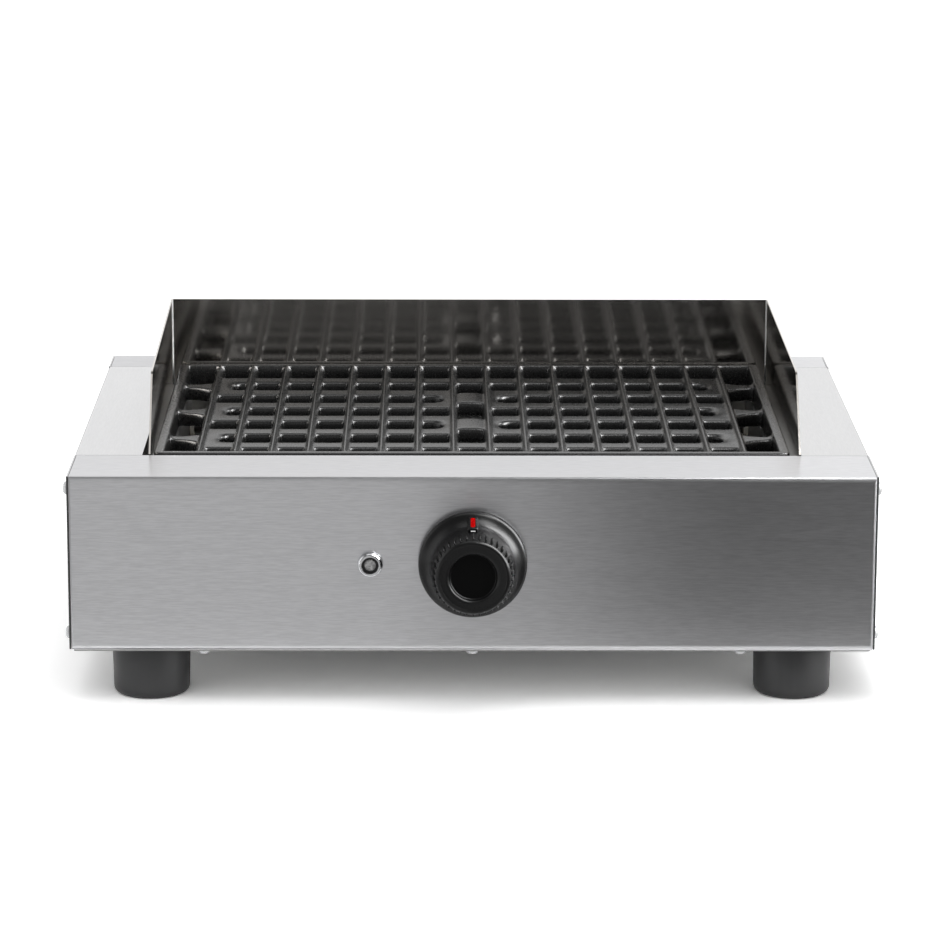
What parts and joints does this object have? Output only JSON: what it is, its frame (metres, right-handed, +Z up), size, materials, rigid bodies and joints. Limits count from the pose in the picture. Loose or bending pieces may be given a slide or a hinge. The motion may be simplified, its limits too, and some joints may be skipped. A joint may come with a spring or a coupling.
{
  "type": "electric grill",
  "caption": "Countertop electric grill: folded steel body on round feet, cast grate over a tilting element and water pan, lift-out windshield, one control knob.",
  "frame": {"origin": "middle of the footprint, on the surface that the feet stand on", "axes": "+X to the right seen from the front, +Y towards the back, +Z up"},
  "size_m": [0.5458, 0.456, 0.204],
  "materials": {
    "brushed_steel": "brushed, long fine grain along the panels",
    "plain_steel": "plain rolled sheet",
    "polished_steel": "polished, reflects the dark grate",
    "cast_enamel": "satin black enamel on cast iron",
    "element_sheath": "dark oxidised sheath",
    "ceramic": "off-white ceramic",
    "black_plastic": "black satin moulding",
    "red_plastic": "red insert",
    "zinc": "bright plated fastener",
    "regulator_plastic": "grey heat-proof moulding",
    "lamp_chrome": "chromed bezel",
    "lamp_lens": "clear grey lens",
    "brass": "plain brass",
    "foot_plastic": "black satin rubbery plastic",
    "lead_sleeve": "woven glass sleeve"
  },
  "bodies": {
    "casing": {"front_panel": "brushed_steel", "rear_panel": "brushed_steel", "left_side_panel": "brushed_steel", "right_side_panel": "brushed_steel", "base_plate": "plain_steel", "well": "plain_steel", "sump": "plain_steel", "sump_end_left": "plain_steel", "sump_end_right": "plain_steel", "element_rest": "plain_steel", "heat_shield": "plain_steel", "element_bush_left": "ceramic", "element_bush_right": "ceramic", "terminal_block": "ceramic", "cable_gland": "black_plastic", "gland_nut": "black_plastic", "left_front_upper_screw": "zinc", "right_front_upper_screw": "zinc", "left_front_lower_screw": "zinc", "right_front_lower_screw": "zinc", "left_rear_upper_screw": "zinc", "right_rear_upper_screw": "zinc", "left_rear_lower_screw": "zinc", "right_rear_lower_screw": "zinc", "bottom_front_left_screw": "zinc", "bottom_front_middle_screw": "zinc", "bottom_front_right_screw": "zinc", "bottom_rear_left_screw": "zinc", "bottom_rear_middle_screw": "zinc", "bottom_rear_right_screw": "zinc", "front_left_foot_screw": "zinc", "front_right_foot_screw": "zinc", "rear_left_foot_screw": "zinc", "rear_right_foot_screw": "zinc", "regulator_screw_left": "zinc", "regulator_screw_right": "zinc", "energy_regulator": "regulator_plastic", "lamp_body": "regulator_plastic", "lamp_bezel": "lamp_chrome", "lamp_lens": "lamp_lens", "lamp_nut": "brass", "front_left_foot": "foot_plastic", "front_right_foot": "foot_plastic", "rear_left_foot": "foot_plastic", "rear_right_foot": "foot_plastic", "heater_lead_left": "lead_sleeve", "heater_lead_right": "lead_sleeve"},
    "knob": {"knob": "black_plastic", "knob_pointer": "red_plastic", "regulator_spindle": "zinc"},
    "windshield": {"windshield": "polished_steel"},
    "grate": {"grate": "cast_enamel"},
    "element": {"heating_element": "element_sheath", "element_bar_front": "plain_steel", "element_bar_rear": "plain_steel", "terminal_pin_left": "zinc", "terminal_pin_right": "zinc"},
    "water_pan": {"water_pan": "plain_steel"}
  },
  "joints": [
    {"name": "knob_turn", "type": "hinge", "parent": "casing", "child": "knob", "pos_m": [0, -0.2, 0.097], "axis": [0, 1, 0], "range_deg": [0, 270]},
    {"name": "windshield_lift", "type": "slide", "parent": "casing", "child": "windshield", "axis": [0, 0, 1], "range_m": [0, 0.12]},
    {"name": "grate_lift", "type": "slide", "parent": "casing", "child": "grate", "axis": [0, 0, 1], "range_m": [0, 0.45]},
    {"name": "element_tilt", "type": "hinge", "parent": "casing", "child": "element", "pos_m": [0, 0.153, 0.113], "axis": [-1, 0, 0], "range_deg": [0, 85]},
    {"name": "pan_lift", "type": "slide", "parent": "casing", "child": "water_pan", "axis": [0, 0, 1], "range_m": [0, 0.014]}
  ],
  "couplings": [
    {"joint": "element_tilt", "follows": "grate_lift", "rad_per_m": 3.296}
  ]
}
